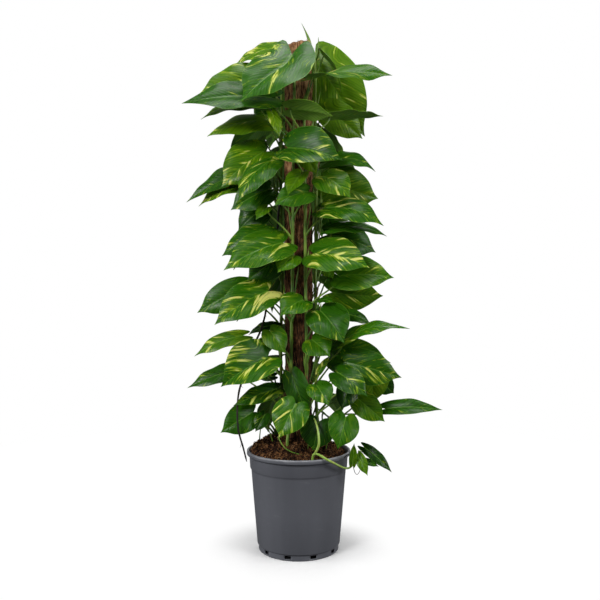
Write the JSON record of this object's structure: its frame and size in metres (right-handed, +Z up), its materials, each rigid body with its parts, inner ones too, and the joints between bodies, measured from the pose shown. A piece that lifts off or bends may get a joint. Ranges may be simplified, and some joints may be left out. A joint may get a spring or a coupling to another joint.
{
  "type": "golden pothos on a coir pole in a nursery pot",
  "caption": "Climbing pothos with broad heart shaped variegated leaves on an upright coir pole, in a tapered plastic nursery pot.",
  "frame": {"origin": "centre of the pot's underside, on the floor", "axes": "+Z up along the pole, -Y towards the fullest side of the plant, where the pale runner hangs over the rim"},
  "size_m": [0.5872, 0.3706, 1.2321],
  "materials": {
    "pot": "satin",
    "soil": "rough",
    "stake": "rough",
    "coir": "rough",
    "leaf": "satin",
    "young_shoot": "satin",
    "root": "rough"
  },
  "bodies": {
    "root": {"pot": "pot", "soil": "soil", "pole_core": "stake", "coir_sleeve": "coir", "vine_front_left": "leaf", "vine_front_right": "leaf", "vine_left": "leaf", "vine_right": "leaf", "vine_back_left": "leaf", "vine_back_right": "leaf", "runner": "young_shoot", "aerial_root": "root"}
  },
  "joints": []
}
